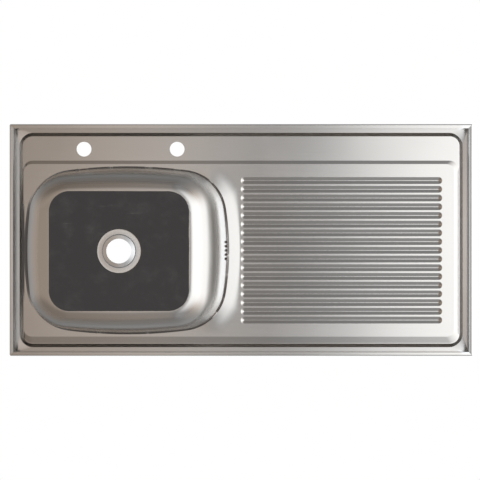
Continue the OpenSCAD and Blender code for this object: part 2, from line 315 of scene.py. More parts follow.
def mouth_outline(s, part, grown):
    """The bowl's outline at a share of the way from the mouth to the floor, grown outwards."""
    points = bowed(mix(s.mouth_width, s.floor_width, part) / 2 + grown,
                   mix(s.mouth_depth, s.floor_depth, part) / 2 + grown,
                   mix(s.mouth_corner, s.floor_corner, part) + grown,
                   1 / mix(1 / s.mouth_end, 1 / s.floor_side, part) + grown,
                   1 / mix(1 / s.mouth_side, 1 / s.floor_side, part) + grown)
    return [p + Vector((s.x, s.y)) for p in points]


DeckLines = namedtuple("DeckLines", "ledge_z panel_z foot_x foot_y foot_r ledge_front")


def deck_lines(s):
    """What the deck's parts share: the heights of the tap ledge and the panel, the foot of the
    steep step with its corner radius, and the front of the ledge."""
    ledge_z = DECK_HIGH.z - s.step_drop
    foot_x = DECK_HIGH.x - s.rim_flat - s.step_run
    foot_y = DECK_HIGH.y - s.rim_flat - s.step_run
    return DeckLines(ledge_z, ledge_z - s.panel_drop, foot_x, foot_y,
                     s.step_corner - s.step_run, foot_y - s.ledge)


def dips(deck, bowl):
    """For each point of the mouth: its outward direction, how fully it faces the drainer, from
    0 to 1, and how wide the panel's dip can be there before it meets the ribs or a slope."""
    at = deck_lines(deck)
    back, front = at.ledge_front - deck.ledge_slope, deck.front_border - at.foot_y
    ribs_end = deck.rib_margin + deck.rib_length - at.foot_x
    found = []
    for p, q in zip(mouth_outline(bowl, 0, 0), mouth_outline(bowl, 0, 0.001)):
        out = (q - p).normalized()
        room = [deck.dip_width]
        if out.x < -0.01:
            room.append((ribs_end - p.x) / out.x - CLEAR)
        if abs(out.y) > 0.01:
            room.append(((back if out.y > 0 else front) - p.y) / out.y - CLEAR)
        found.append((out, smooth((-out.x - 0.1) / 0.85), max(bowl.margin, min(room))))
    return found


def dip(deck, facing, width, out):
    """How far the panel dips at a distance out from the mouth, to let the drainer's water in."""
    along = max(0.0, width - out)
    bend = max(deck.dip_bend, 1.3 * width - 0.03, (1 - facing) * width)
    bent = min(along, bend)
    return deck.dip_slope * facing * (bent * bent / (2 * bend) + along - bent)


# -------- sheet work


def closed_loop(bm, points):
    """A closed loop of edges through the points; returns its vertices in order."""
    verts = [bm.verts.new(p) for p in points]
    for a, b in zip(verts, verts[1:] + verts[:1]):
        bm.edges.new((a, b))
    return verts


def round_hole(bm, x, y, z, radius, segments):
    """A circle of edges, as the rim of a hole."""
    made = bmesh.ops.create_circle(bm, cap_ends=False, radius=radius, segments=segments,
                                   matrix=Matrix.Translation((x, y, z)))
    return made["verts"]


def round_points(loop, x, y, z, radius):
    """The loop's points, moved to a circle of another radius and height."""
    middle = Vector((x, y, z))
    return [middle + Vector((v.co.x - x, v.co.y - y, 0)).normalized() * radius for v in loop]


def edges_of(bm, verts, closed=True):
    """The edges that join the vertices in their order."""
    pairs = zip(verts, verts[1:] + verts[:1]) if closed else zip(verts, verts[1:])
    return [bm.edges.get(pair) for pair in pairs]


def grow(bm, verts, points):
    """Extrudes a closed loop of edges once and lays the new loop on the given points."""
    made = bmesh.ops.extrude_edge_only(bm, edges=edges_of(bm, verts))
    new = {v for v in made["geom"] if isinstance(v, bmesh.types.BMVert)}
    loop = [next(e.other_vert(v) for e in v.link_edges if e.other_vert(v) in new) for v in verts]
    for v, p in zip(loop, points):
        v.co = p
    return loop


def fill_flat(bm, *loops):
    """Fills the flat face between an outer loop of edges and the loops inside it."""
    edges = [e for loop in loops for e in loop]
    bmesh.ops.triangle_fill(bm, use_beauty=True, edges=edges, normal=(0, 0, 1))


def thicken(bm, thickness):
    """Merges the doubles, turns the sheet's upper face up and gives it its thickness below."""
    bmesh.ops.remove_doubles(bm, verts=bm.verts[:], dist=SAME_PLACE)
    bmesh.ops.recalc_face_normals(bm, faces=bm.faces[:])
    widest = max(bm.faces, key=lambda f: f.calc_area())
    if widest.normal.z < 0:
        bmesh.ops.reverse_faces(bm, faces=bm.faces[:])
    bmesh.ops.solidify(bm, geom=bm.faces[:], thickness=thickness)


def mark_cut_edges(bm):
    """Shades all faces smooth, and keeps the cut edges sharp."""
    for face in bm.faces:
        face.smooth = True
    for edge in bm.edges:
        if len(edge.link_faces) == 2 and edge.calc_face_angle(0) > math.radians(SHARP_ANGLE):
            edge.smooth = False


def put(name, data):
    """Adds an object to the scene."""
    made = bpy.data.objects.new(name, data)
    bpy.context.scene.collection.objects.link(made)
    return made


def new_piece(name, bm, material, node):
    """Makes the mesh an object, with its finish, body, slot and the node it stands for."""
    mesh = bpy.data.meshes.new(name)
    bm.to_mesh(mesh)
    bm.free()
    piece = put(name, mesh)
    mesh.materials.append(material)
    flats = piece.modifiers.new("Flat faces stay flat", "WEIGHTED_NORMAL")
    flats.mode, flats.keep_sharp = "FACE_AREA", True
    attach(piece, "root")
    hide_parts(node)


# -------- finishes


class Wire:
    """One output of a node. Python's operators on it add Math nodes."""

    def __init__(self, finish, socket):
        self.finish, self.socket = finish, socket

    def math(self, operation, first, second=0.0, third=0.0):
        return self.finish.node("ShaderNodeMath", {"operation": operation},
                                {0: first, 1: second, 2: third})

    def __add__(self, other):
        return self.math("ADD", self, other)

    __radd__ = __add__

    def __sub__(self, other):
        return self.math("SUBTRACT", self, other)

    def __rsub__(self, other):
        return self.math("SUBTRACT", other, self)

    def __mul__(self, other):
        return self.math("MULTIPLY", self, other)

    __rmul__ = __mul__

    def __truediv__(self, other):
        return self.math("DIVIDE", self, other)

    def __rtruediv__(self, other):
        return self.math("DIVIDE", other, self)

    def __abs__(self):
        return self.math("ABSOLUTE", self)

    def smaller(self, other):
        return self.math("MINIMUM", self, other)

    def root(self):
        return self.math("SQRT", self)

    def ramp(self, low, high, start=0.0, end=1.0):
        """Goes smoothly from start to end while the value goes from low to high."""
        return self.finish.node("ShaderNodeMapRange", {"interpolation_type": "SMOOTHSTEP"},
                                {"Value": self, "From Min": low, "From Max": high,
                                 "To Min": start, "To Max": end})

    def band(self, start, full, fade, end):
        """Is 1 from full to fade, and goes smoothly to 0 at start and at end."""
        return self.ramp(start, full) * self.ramp(fade, end, 1.0, 0.0)


class Finish:
    """The nodes of a material, or of the world."""

    def __init__(self, owner):
        owner.use_nodes = True
        self.owner, self.tree = owner, owner.node_tree
        self.tree.nodes.clear()

    def node(self, kind, settings=None, inputs=None, output=0):
        """Adds a node and returns one of its outputs."""
        made = self.tree.nodes.new(kind)
        for name, value in (settings or {}).items():
            setattr(made, name, value)
        for name, value in (inputs or {}).items():
            if isinstance(value, Wire):
                self.tree.links.new(value.socket, made.inputs[name])
            else:
                made.inputs[name].default_value = value
        return Wire(self, made.outputs[output]) if made.outputs else None

    def ray(self, kind):
        """Is 1 for one kind of ray, and 0 for the others."""
        return self.node("ShaderNodeLightPath", output=f"Is {kind} Ray")

    def place(self, scale=(1, 1, 1), shift=(0, 0, 0)):
        """The object's own coordinates, shifted and then scaled."""
        where = self.node("ShaderNodeTexCoord", output="Object")
        moved = self.node("ShaderNodeVectorMath", {"operation": "ADD"}, {0: where, 1: shift})
        return self.node("ShaderNodeVectorMath", {"operation": "MULTIPLY"}, {0: moved, 1: scale})

    def split(self, vector):
        """The three numbers of a vector."""
        return [self.node("ShaderNodeSeparateXYZ", None, {0: vector}, axis) for axis in "XYZ"]

    def attribute(self, name):
        """A number that the piece's vertices carry."""
        return self.node("ShaderNodeAttribute", {"attribute_name": name}, output="Fac")

    def cloud(self, vector, scale, detail=2.0, roughness=0.5):
        """Soft noise from 0 to 1."""
        return self.node("ShaderNodeTexNoise", None, {"Vector": vector, "Scale": scale,
                                                      "Detail": detail, "Roughness": roughness})

    def blend(self, factor, first, second):
        """Mixes two colours."""
        return self.node("ShaderNodeMix", {"data_type": "RGBA"},
                         {0: factor, 6: first, 7: second}, output=2)


def rgba(values):
    return (*values, 1.0)


def rim_marks(f, at, fine, height, sizes, bowl):
    """The deck's painted light and shade: a tint of painted shade inside the folded rim, painted
    light on its end beside the drainer, a dark line of painted shadow along the lip's free edge
    and painted shade on the step beside the bowl's far end. Returns the grain, its height, the
    dark painted shade, the pale painted light, the tint of painted shade, the grey ring (none
    here) and how much rougher the steel gets."""
    x, y, _ = at
    dull = f.attribute("dull")             # how squarely it faces inwards; 2 on the lip's edge
    # Painted light: the rim at the drainer's end, most of all its fold wall, gets the pale tone as
    # if lit
    lit = (x + bowl.x - DECK_LOW.x).ramp(0.018, 0.03, 1.0, 0.0)
    pale = lit * dull.ramp(0.05, 0.15, 0.22, 1.0)
    # Painted shade: a brown tint on the fold's inward-facing wall, away from the drainer's end
    shade_and_ragged_cut = dull.ramp(0.4, 0.9) * sizes.fold_shade * (1 - lit)
    # Painted shade: darker on the step beside the bowl's far end
    past_weld = x - bowl.mouth_width / 2 - bowl.margin
    painted_shade = past_weld.band(-0.002, 0.0, 0.003, 0.007) * abs(y).ramp(0.08, 0.115, 0.8, 0.0)
    # Painted shadow: a dark line along the lip's free edge, plus the painted shade beside the far
    # end
    dark = dull.ramp(1.1, 1.6) * 0.8 + painted_shade
    return fine, height, dark, pale, shade_and_ragged_cut, 0.0, dull * 0.3


def wall_marks(f, at, fine, height, sizes, bowl):
    """The bowl's marks, painted light and painted shade: turned grain round the waste seat and a
    dark ring of painted shade at its step, a broken dark line of painted shade along the
    mouth's crease, a pale band of painted light and a grey ring of painted shade below it
    beside the drainer, a tint of painted shade on the rest of the wall, painted shade at the
    far end and dark patches of painted shade round the overflow holes. Returns the same seven
    values."""
    x, y, z = at
    radius = (x * x + y * y).root()
    seat = bowl.seat / 2
    rings = f.cloud(f.node("ShaderNodeCombineXYZ", None, {0: radius, 1: 0.0, 2: 0.0}), 900.0)
    on_seat = radius.ramp(seat + 0.008, seat + 0.011, 1.0, 0.0)
    # Painted shade: a dark ring at the seat's step
    painted_step_shade = abs(radius - seat + 0.0008).ramp(0.0004, 0.0016, 1.0, 0.0)
    fine = fine * (1 - on_seat) + (rings - 0.4) * on_seat * 1.4
    height = height * (1 - on_seat) + rings * on_seat * TURNED_HEIGHT

    inset = f.attribute("inset")
    turn = x / radius                      # -1 on the drainer's side, 1 at the far end
    # Painted shade: a broken dark line along the crease just inside the mouth
    broken = f.cloud(f.place((1, 1, 1), (0.07, 0.02, 0)), 38.0, 2.0, 0.6).ramp(0.34, 0.42)
    narrow = inset + turn.ramp(-1.0, -0.92, 0.0012, 0.0)
    line = inset.ramp(-0.0004, 0.0006) * narrow.ramp(0.0044, 0.0058, 1.0, 0.0) * broken
    line = line * turn.ramp(0.55, 0.85, 1.0, 0.0) * turn.ramp(-1.0, -0.93, 0.75, 1.0)
    # Painted shade at the far end: darkest at the mouth, gone 50 mm down the wall
    far_end = inset.ramp(0.0, 0.05, 0.8, 0.0) * turn.ramp(0.84, 0.94)
    rougher = inset.ramp(0.018, 0.03) * inset.ramp(0.048, 0.062, 0.2, 0.0)
    # Painted shade: a tint on the wall away from the drainer
    drawn = inset.band(0.003, 0.012, 0.020, 0.036) * turn.ramp(-0.8, -0.5)
    # The turned seat's own paler colour, and a band of painted light on the wall beside the drainer
    pale = radius.ramp(seat + 0.009, seat + 0.011, 0.55, 0.0)
    pale = pale + inset.band(0.005, 0.009, 0.015, 0.020) * turn.ramp(-0.95, -0.8, 0.8, 0.0)
    # Painted shade: a grey ring on the wall beside the drainer
    ring = inset.band(0.0165, 0.023, 0.029, 0.046) * turn.ramp(-0.95, -0.7, 1.0, 0.0)

    # Painted shade: a dark patch round each overflow hole, taller than the hole
    step, half_row = bowl.hole_pitch, bowl.holes * bowl.hole_pitch / 2
    along = y.math("WRAP", y, step / 2, -step / 2)
    down = (z + bowl.hole_drop) * (bowl.hole / bowl.painted_hole_shade)
    spot = (along * along + down * down).root()
    row = x.ramp(0.0, 0.01, 1.0, 0.0) * abs(y).ramp(half_row - 0.0002, half_row + 0.0002, 1.0, 0.0)
    painted_hole_shade = spot.ramp(bowl.hole * 0.5, bowl.hole * 0.66, 1.0, 0.0) * row
    dark = (line * sizes.seam + painted_hole_shade + painted_step_shade * 0.6 + far_end).smaller(1.0)
    return fine, height, dark, pale, drawn * sizes.wall_shade, ring * sizes.ring_shade, rougher


def steel(name, base, sizes, bowl, marks):
    """Satin stainless sheet: fine rolled grain along the length, soft clouds in its gloss, a
    little waviness, and the marks, painted light and painted shade of the deck or of the bowl.
    The dark painted shade is less metallic, because steep metal shows no dark colour."""
    f = Finish(bpy.data.materials.new(name))
    grain = f.cloud(f.place((9, 900, 900)), 1.0, 3.0, 0.6)
    cloud = f.cloud(f.place(), 7.0, 3.0, 0.55)
    waves = f.cloud(f.place((5, 9, 9), (0.2, 0.4, 0.1)), 1.0, 1.0, 0.4)
    at = f.split(f.place(shift=(-bowl.x, -bowl.y, -BOWL_HIGH.z)))
    fine, height, dark, pale, shade_and_ragged_cut, ring, rougher = marks(
        f, at, (grain - 0.5) * sizes.grain, grain * GRAIN_HEIGHT + waves * sizes.waviness, sizes,
        bowl)
    rough = sizes.roughness + fine * 0.25 + (cloud - 0.5) * 0.06 + dark * 0.25 + rougher
    tone = f.blend((cloud - 0.5) * 0.5 + 0.5 + fine * 0.4, rgba([c * 0.94 for c in base]),
                   rgba([min(1.0, c * 1.05) for c in base]))
    # Paler turned steel and painted light, then the tints and grey ring of painted shade, then the
    # dark painted shade
    for mark, shade in ((pale, sizes.pale_tone), (shade_and_ragged_cut, sizes.shade_tint),
                        (ring, sizes.ring_tone), (dark, sizes.painted_shade)):
        tone = f.blend(mark, tone, rgba(shade))
    bump = f.node("ShaderNodeBump", None, {"Strength": 1.0, "Distance": 1.0, "Height": height})
    shader = f.node("ShaderNodeBsdfPrincipled", None,
                    {"Base Color": tone, "Roughness": rough, "Metallic": 1 - dark - ring * 0.35,
                     "Specular IOR Level": 0.0, "Normal": bump})
    f.node("ShaderNodeOutputMaterial", None, {"Surface": shader})
    return f.owner


def damping_rubber(name, sizes):
    """Heavy charcoal sheet: a dull, slightly pitted skin with faint dust and long scuffs."""
    f = Finish(bpy.data.materials.new(name))
    pits = f.cloud(f.place(), 900.0, 3.0, 0.6)
    dusty = f.cloud(f.place((1, 1, 1), (0.3, 0.1, 0)), 22.0, 5.0, 0.65)
    scuff = f.cloud(f.place((14, 160, 14), (0.11, 0.07, 0)), 1.0, 2.0, 0.5)
    marks = scuff.ramp(0.66, 0.78) * dusty.ramp(0.42, 0.62)
    dust = dusty.ramp(0.45, 0.85) * 0.22 + marks * 0.25
    tone = f.blend(dust, rgba(sizes.rubber), rgba(sizes.dust))
    bump = f.node("ShaderNodeBump", None, {"Strength": 0.35, "Distance": 0.0002, "Height": pits})
    shader = f.node("ShaderNodeBsdfPrincipled", None,
                    {"Base Color": tone, "Roughness": 0.62 + dusty * 0.2, "Normal": bump})
    f.node("ShaderNodeOutputMaterial", None, {"Surface": shader})
    return f.owner


# -------- parts of the deck


def folded_rim(bm, s, at):
    """The lip, the two folds, the flat of the rim and the steep step; returns the loop at the
    foot. Each turn has a vertex on both sides where the panel's slope leaves the step."""
    half_x, half_y, top = DECK_HIGH
    leave = at.ledge_front - at.foot_r

    def turn(inset, radius, z, falls=0.0):
        """One turn round the sink; it falls by a share of the rim's fall."""
        x, y = half_x - inset, half_y - inset
        c = rounded(-x, x, -y, y, radius)
        points = at_height(c[0] + c[1] + [Vector((-x, leave))] + c[2] + c[3]
                           + [Vector((x, leave))], z)
        for p in points:
            p.z -= falls * mix(s.rim_fall_end, s.rim_fall, smooth(p.x / half_x / 2 + 0.5))
        return points

    fold, angles = s.fold_radius, [math.pi / 2 * i / BEND_STEPS for i in range(BEND_STEPS + 1)]
    loop = closed_loop(bm, turn(s.lip, 0, s.lip_rise))
    loop = grow(bm, loop, turn(s.lip - LIP_LINE, 0, s.lip_rise * 0.7))
    for a in angles:
        inset = fold * (1 - math.sin(a))
        loop = grow(bm, loop, turn(inset, s.corner_radius - inset, fold * (1 - math.cos(a))))
    for a in angles:
        inset = fold * (1 - math.cos(a))
        loop = grow(bm, loop, turn(inset, s.corner_radius - inset,
                                   top - fold * (1 - math.sin(a)), 1.0))
    for inset, rise in pressed_section(s.step_run, s.step_drop, s.step_bend, s.step_bend):
        loop = grow(bm, loop, turn(s.rim_flat + inset, s.step_corner - inset, top + rise))
    return loop


def tap_ledge(bm, s, at, loop):
    """The ledge with its tap holes, and the slope down to the panel, which runs along the foot
    of the step and behind along the ledge; returns the loop at the panel."""
    n = CORNER_STEPS + 1               # points in each corner
    foot_back = loop[:2 * n]
    mark_left, front, mark_right = loop[2 * n], loop[2 * n + 1:4 * n + 1], loop[4 * n + 1]
    back = rounded(-at.foot_x, at.foot_x, -at.foot_y, at.ledge_front, at.foot_r)[:2]
    right = [mark_right] + [bm.verts.new((*p, at.ledge_z)) for p in back[0][1:]]
    left = [bm.verts.new((*p, at.ledge_z)) for p in back[1][:-1]] + [mark_left]
    for a, b in zip(right + left, (right + left)[1:]):
        bm.edges.new((a, b))
    taps = [round_hole(bm, s.tap_x + side * s.tap_spacing / 2, s.tap_y, at.ledge_z,
                       s.tap_hole / 2, TAP_STEPS) for side in (-1, 1)]
    fill_flat(bm, edges_of(bm, [mark_right] + foot_back + [mark_left], False),
              edges_of(bm, right + left, False), *[edges_of(bm, t) for t in taps])
    loop = right + left + front
    for inset, rise in pressed_section(s.ledge_slope, s.panel_drop, s.panel_bend,
                                       s.panel_bend)[1:]:
        part = inset / s.ledge_slope
        corners = rounded(-at.foot_x + s.drainer_border * part, at.foot_x - s.bowl_border * part,
                          -at.foot_y + s.front_border * part,
                          at.ledge_front - s.ledge_slope * part,
                          mix(at.foot_r, s.panel_corner, part))
        loop = grow(bm, loop, at_height(sum(corners, []), at.ledge_z + rise))
    return loop


def panel_dip(bm, s, bowl, panel_z):
    """The dip round the bowl's mouth; returns the loop at its outer end."""
    edge, beside = mouth_outline(bowl, 0, 0), dips(s, bowl)

    def turn(part):
        """One turn round the mouth, from the weld to the outer end of the dip."""
        points = []
        for p, (out, facing, width) in zip(edge, beside):
            away = mix(bowl.margin, width, part * min(1.0, facing * 4))
            points.append(Vector((*(p + out * away), panel_z - dip(s, facing, width, away))))
        return points

    outer = mouth = closed_loop(bm, turn(1.0))
    for i in range(1, DIP_RINGS + 1):
        mouth = grow(bm, mouth, turn(1 - i / DIP_RINGS))
    return outer


def ribs(bm, s, at, middle_y):
    """The drainer's ribs, each with a fillet at its foot, straight flanks, a round ridge and
    round ends; returns the edges round their feet."""
    half_w = s.rib_width / 2
    section = pressed_section(half_w, s.rib_height, s.rib_crown, s.rib_foot, RIB_STEPS)
    section = [(reach, s.rib_height + rise) for reach, rise in reversed(section)]
    middle_x = -at.foot_x + s.rib_margin + s.rib_length / 2
    straight = s.rib_length / 2 - half_w

    def turn(y, reach, z):
        """One turn round a rib, at a distance from its ridge."""
        reach = max(reach, 1e-7)
        return at_height(arc(middle_x + straight, y, reach, -90, 90, RIB_END_STEPS)
                         + arc(middle_x - straight, y, reach, 90, 270, RIB_END_STEPS), z)

    feet = []
    for i in range(s.ribs):
        y = middle_y + s.rib_pitch * (i - (s.ribs - 1) / 2)
        rib = closed_loop(bm, turn(y, half_w, at.panel_z))
        feet.append(edges_of(bm, rib))
        for reach, z in section[1:]:
            rib = grow(bm, rib, turn(y, reach, at.panel_z + z))
    return feet


def lip_faces(bm, sx, sy):
    """The lip's faces and their middles, apart from the corner across from this one."""
    faces = [(f, f.calc_center_median()) for f in bm.faces]
    return [(f, p) for f, p in faces if p.z < LIP_FACES and (p.x * sx > 0 or p.y * sy > 0)]


def cut_mitre(bm, s, sx, sy):
    """Cuts the open slit along the diagonal of one corner of the lip."""
    across = Vector((sx, -sy, 0)).normalized()
    corner = Vector((sx * DECK_HIGH.x, sy * DECK_HIGH.y, 0))
    for side in (-1, 1):
        geom = list({g for f, _ in lip_faces(bm, sx, sy) for g in (*f.verts, *f.edges, f)})
        bmesh.ops.bisect_plane(bm, geom=geom, dist=1e-7,
                               plane_co=corner + across * side * s.mitre_gap / 2,
                               plane_no=across)
    slit = [f for f, p in lip_faces(bm, sx, sy)
            if abs((p - corner).dot(across)) < s.mitre_gap / 2
            and (p - corner).length < 3 * s.lip]
    bmesh.ops.delete(bm, geom=slit, context="FACES")


def mark_dull(bm, s):
    """Says how squarely each vertex of the folded rim faces inwards, from 0 to 1. On the lip's
    free edge it says 2, where the deck's finish paints a dark line of painted shadow, but not
    behind, where no such line is painted."""
    dull = bm.verts.layers.float.new("dull")
    for v in bm.verts:
        in_x, in_y = DECK_HIGH.x - abs(v.co.x), DECK_HIGH.y - abs(v.co.y)
        inset = min(in_x, in_y)
        out = Vector((v.co.x, 0, 0)) if in_x < in_y else Vector((0, v.co.y, 0))
        if v.co.z > LIP_VERTS + s.lip_rise:
            if inset < s.rim_flat + NEAR:
                v[dull] = max(0.0, -v.normal.dot(out.normalized()))
        elif inset > s.lip - NEAR and v.co.y < DECK_HIGH.y - s.lip - NEAR:
            v[dull] = 2.0


# -------- parts of the bowl


def drawn_sheet(bm, s, deck, section):
    """The bowl's mouth, walls, floor and waste seat. Its vertices carry their inset, how far
    inside the mouth they lie when seen from above."""
    panel_z, beside = BOWL_HIGH.z, dips(deck, s)

    def turn(part, grown, rise):
        """One turn round the bowl; near the mouth it follows the deck's dip."""
        points = at_height(mouth_outline(s, part, grown), panel_z + rise)
        for p, (_, facing, width) in zip(points, beside):
            p.z -= dip(deck, facing, width, grown) * smooth(1 + rise / DIP_FADE)
        return points

    depth_in = bm.verts.layers.float.new("inset")
    loop = closed_loop(bm, turn(0, s.margin, 0))
    for v in loop:
        v[depth_in] = -s.margin
    run = section[-1][0]
    for inset, rise in section:
        loop = grow(bm, loop, turn(inset / run, 0, rise))
        for v in loop:
            v[depth_in] = inset
    floor_z = panel_z - s.depth
    seat = round_hole(bm, s.x, s.y, floor_z, s.apron / 2, ROUND_STEPS)
    fill_flat(bm, edges_of(bm, loop), edges_of(bm, seat))
    for v in seat:
        v[depth_in] = run
    seat_z, seat_run = floor_z - s.apron_drop, (s.seat - s.seat_flat) / 2
    for inset, rise in pressed_section(seat_run, s.seat_drop - s.apron_drop - s.seat_cone,
                                       s.seat_bend, s.seat_bend, SEAT_STEPS):
        seat = grow(bm, seat, round_points(seat, s.x, s.y, seat_z + rise, s.seat / 2 - inset))
    grow(bm, seat, round_points(seat, s.x, s.y, floor_z - s.seat_drop, s.waste_hole / 2))


def cut_out(bm, cutter, context):
    """Cuts the cutter's bodies out of the sheet."""
    pair = []
    for name, source in (("drill", cutter), ("blank", bm)):
        mesh = bpy.data.meshes.new(name)
        source.to_mesh(mesh)
        pair.append(put(name, mesh))
    cut = pair[1].modifiers.new("Overflow holes", "BOOLEAN")
    cut.operation, cut.solver, cut.object = "DIFFERENCE", "EXACT", pair[0]
    bm.clear()
    bm.from_mesh(pair[1].evaluated_get(context.evaluated_depsgraph_get()).to_mesh())
    for each in pair:
        bpy.data.objects.remove(each)


def overflow_holes(bm, s, section, context):
    """The row of holes, square to the sloping end wall beside the drainer, and their burrs."""
    (high_in, high), (low_in, low) = section[WALL_STEPS:WALL_STEPS + 2]
    tilt = math.atan2(high - low, low_in - high_in)
    wall_in = high_in + (high + s.hole_drop) / math.tan(tilt)
    at = Vector((s.x - s.mouth_width / 2 + wall_in, s.y, BOWL_HIGH.z - s.hole_drop))
    square = Matrix.Rotation(tilt, 4, "Y")
    middles = [at + Vector((0, s.hole_pitch * (i - (s.holes - 1) / 2), 0)) for i in range(s.holes)]
    drill = bmesh.new()
    for middle in middles:
        bmesh.ops.create_cone(drill, cap_ends=True, segments=HOLE_STEPS, radius1=s.hole / 2,
                              radius2=s.hole / 2, depth=2 * s.hole,
                              matrix=Matrix.Translation(middle) @ square)
    cut_out(bm, drill, context)
    drill.free()
    axis = square @ Vector((0, 0, 1))
    inner, outer = Vector((0, s.hole / 2, 0)), Vector((0, s.hole / 2 + s.burr / 3, 0))
    for middle in middles:
        rim = closed_loop(bm, [middle + inner, middle + outer,
                               middle + outer + axis * s.burr, middle + inner + axis * s.burr])
        bmesh.ops.spin(bm, geom=rim + edges_of(bm, rim), cent=middle, axis=axis,
                       angle=2 * math.pi, steps=HOLE_STEPS, use_merge=True)
    bmesh.ops.recalc_face_normals(bm, faces=bm.faces[:])

    # All vertices round the holes carry the inset of their row
    depth_in = bm.verts.layers.float["inset"]
    for v in bm.verts:
        if (abs(v.co.z - at.z) < s.hole and v.co.x < s.x
                and abs(v.co.y - s.y) < s.holes * s.hole_pitch / 2):
            v[depth_in] = wall_in


# -------- pieces


class SINK_OT_deck(bpy.types.Operator):
    """Makes the pressed deck: folded rim with its mitred lip, step, tap ledge, panel and ribs"""

    bl_idname = "sink.deck"
    bl_label = "Deck"

    def execute(self, context):
        scene = context.scene
        s, bowl, finish = scene.sink_deck, scene.sink_bowl, scene.sink_finish
        at = deck_lines(s)
        bm = bmesh.new()
        slope = tap_ledge(bm, s, at, folded_rim(bm, s, at))
        outer = panel_dip(bm, s, bowl, at.panel_z)
        feet = ribs(bm, s, at, bowl.y)
        fill_flat(bm, edges_of(bm, slope), edges_of(bm, outer), *feet)
        for sx in (-1, 1):
            for sy in (-1, 1):
                cut_mitre(bm, s, sx, sy)
        thicken(bm, s.sheet)
        mark_dull(bm, s)
        mark_cut_edges(bm)
        new_piece("pressed_deck", bm, steel("rolled steel", finish.steel, finish, bowl, rim_marks),
                  "deck")
        return {"FINISHED"}


class SINK_OT_bowl(bpy.types.Operator):
    """Makes the drawn bowl: rolled mouth, walls, floor, waste seat and overflow holes"""

    bl_idname = "sink.bowl"
    bl_label = "Bowl"

    def execute(self, context):
        scene = context.scene
        s, deck, finish = scene.sink_bowl, scene.sink_deck, scene.sink_finish
        section = pressed_section((s.mouth_width - s.floor_width) / 2, s.depth, s.mouth_roll,
                                  s.floor_roll, WALL_STEPS)
        bm = bmesh.new()
        drawn_sheet(bm, s, deck, section)
        thicken(bm, s.sheet)
        overflow_holes(bm, s, section, context)
        mark_cut_edges(bm)
        new_piece("drawn_bowl", bm, steel("drawn steel", finish.drawn, finish, s, wall_marks),
                  "bowl")
        return {"FINISHED"}


class SINK_OT_pad(bpy.types.Operator):
    """Makes the heavy pad under the bowl, with its cut edges and the hole round the waste"""

    bl_idname = "sink.pad"
    bl_label = "Pad"

    def execute(self, context):
        s, bowl = context.scene.sink_pad, context.scene.sink_bowl
        bm = bmesh.new()
        corners = rounded(PAD_LOW.x, PAD_HIGH.x, PAD_LOW.y, PAD_HIGH.y, s.corner, PAD_STEPS)
        loop = closed_loop(bm, at_height(sum(corners, []), PAD_LOW.z))
        round_hole(bm, bowl.x, bowl.y, PAD_LOW.z, s.hole / 2, ROUND_STEPS)
        sides = [e for e in edges_of(bm, loop) if e.calc_length() > s.corner]
        bmesh.ops.subdivide_edges(bm, edges=sides, cuts=PAD_CUTS)

        # The knife strays in long and short waves, most beside the drainer; the cut-out is round
        middle = Vector((bowl.x, bowl.y, PAD_LOW.z))
        for v in bm.verts:
            away = v.co - middle
            if away.length < s.hole * 0.6:
                continue
            # Here the value is only how ragged the knife's cut is
            shade_and_ragged_cut = max(0.0, min(1.0, (bowl.x - v.co.x) / 0.12)) * 0.9 + 0.25
            stray = 0.5 + 0.5 * noise.noise(v.co * 90) + 0.25 * noise.noise(v.co * 400)
            v.co -= away.normalized() * s.rough_cut * shade_and_ragged_cut * max(0.0, stray)
        bmesh.ops.triangle_fill(bm, use_beauty=True, edges=bm.edges[:], normal=(0, 0, 1))
        made = bmesh.ops.extrude_face_region(bm, geom=bm.faces[:])
        bmesh.ops.translate(bm, vec=(0, 0, PAD_HIGH.z - PAD_LOW.z),
                            verts=[v for v in made["geom"] if isinstance(v, bmesh.types.BMVert)])
        bmesh.ops.recalc_face_normals(bm, faces=bm.faces[:])
        rims = [e for e in bm.edges if e.calc_face_angle(0) > PAD_RIM_ANGLE]
        bmesh.ops.bevel(bm, geom=rims, offset=s.edge, offset_type="OFFSET", segments=2, profile=0.5,
                        affect="EDGES", clamp_overlap=True, material=-1)
        mark_cut_edges(bm)
        new_piece("damping_pad", bm, damping_rubber("damping rubber", s),
                  "anti_drumming_pad")
        return {"FINISHED"}


# -------- the studio


def floor_paint(tone):
    """Paint that only the camera sees, and only from above."""
    f = Finish(bpy.data.materials.new("studio floor"))
    front = 1 - f.node("ShaderNodeNewGeometry", output="Backfacing")
    clear = f.node("ShaderNodeBsdfTransparent")
    paint = f.node("ShaderNodeBsdfDiffuse", None, {"Color": rgba(tone)})
    seen = f.node("ShaderNodeMixShader", None, {0: f.ray("Camera") * front, 1: clear, 2: paint})
    f.node("ShaderNodeOutputMaterial", None, {"Surface": seen})
    return f.owner


